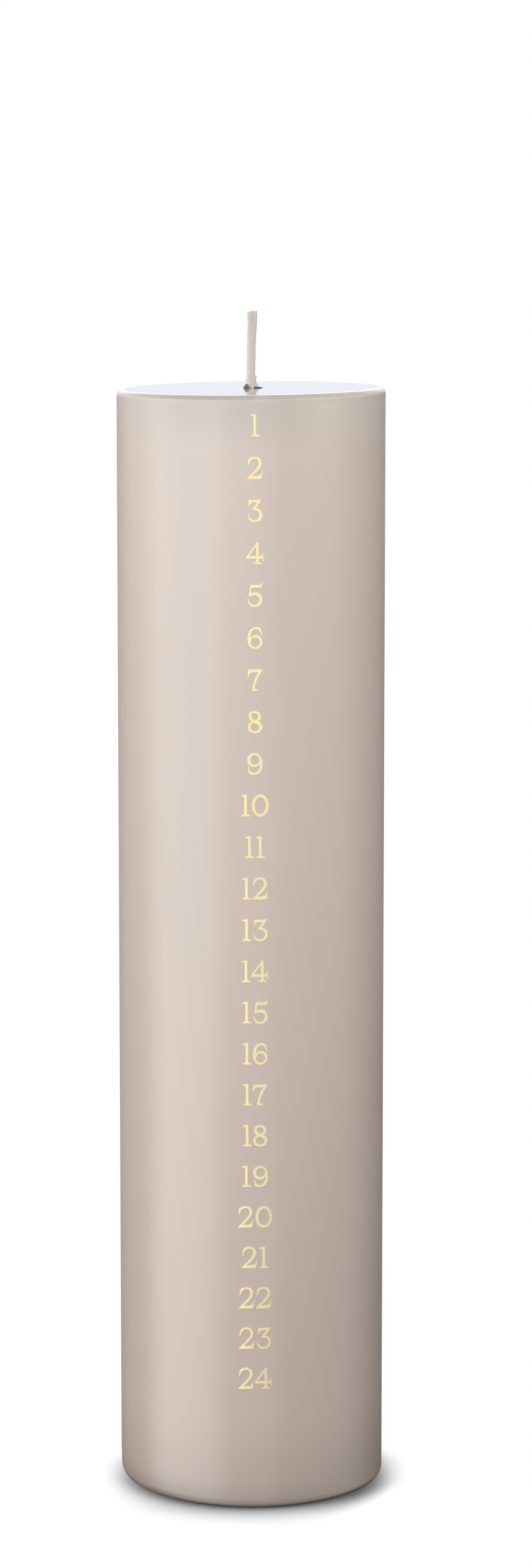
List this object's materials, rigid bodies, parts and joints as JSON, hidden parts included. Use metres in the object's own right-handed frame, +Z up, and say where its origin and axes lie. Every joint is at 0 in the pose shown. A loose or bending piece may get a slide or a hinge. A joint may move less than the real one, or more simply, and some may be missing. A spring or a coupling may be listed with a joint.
{
  "type": "calendar candle",
  "caption": "Tall lacquered pillar candle with a column of gold foil numbers down its front and a primed cotton wick.",
  "frame": {"origin": "middle of the candle's foot, on the surface it stands on", "axes": "+Z up the candle's axis to the wick, -Y towards the side that carries the numbers"},
  "size_m": [0.06, 0.0601, 0.267],
  "materials": {
    "pale_wax": "undyed pillar wax, planed and matt at the foot",
    "coloured_wax": "warm greige dyed wax, smooth",
    "lacquer": "thin greige pigmented satin candle lacquer",
    "cotton": "flat braided cotton",
    "priming_wax": "uneven hard priming wax",
    "tinned_steel": "thin tinned sheet",
    "gold_foil": "hot transferred pale gold foil, slightly worn at its edges"
  },
  "bodies": {
    "root": {"core": "pale_wax", "colour_coat": "coloured_wax", "lacquer_film": "lacquer", "wick_braid": "cotton", "wick_wax": "priming_wax", "wick_sustainer": "tinned_steel", "numeral_01": "gold_foil", "numeral_02": "gold_foil", "numeral_03": "gold_foil", "numeral_04": "gold_foil", "numeral_05": "gold_foil", "numeral_06": "gold_foil", "numeral_07": "gold_foil", "numeral_08": "gold_foil", "numeral_09": "gold_foil", "numeral_10": "gold_foil", "numeral_11": "gold_foil", "numeral_12": "gold_foil", "numeral_13": "gold_foil", "numeral_14": "gold_foil", "numeral_15": "gold_foil", "numeral_16": "gold_foil", "numeral_17": "gold_foil", "numeral_18": "gold_foil", "numeral_19": "gold_foil", "numeral_20": "gold_foil", "numeral_21": "gold_foil", "numeral_22": "gold_foil", "numeral_23": "gold_foil", "numeral_24": "gold_foil"}
  },
  "joints": []
}
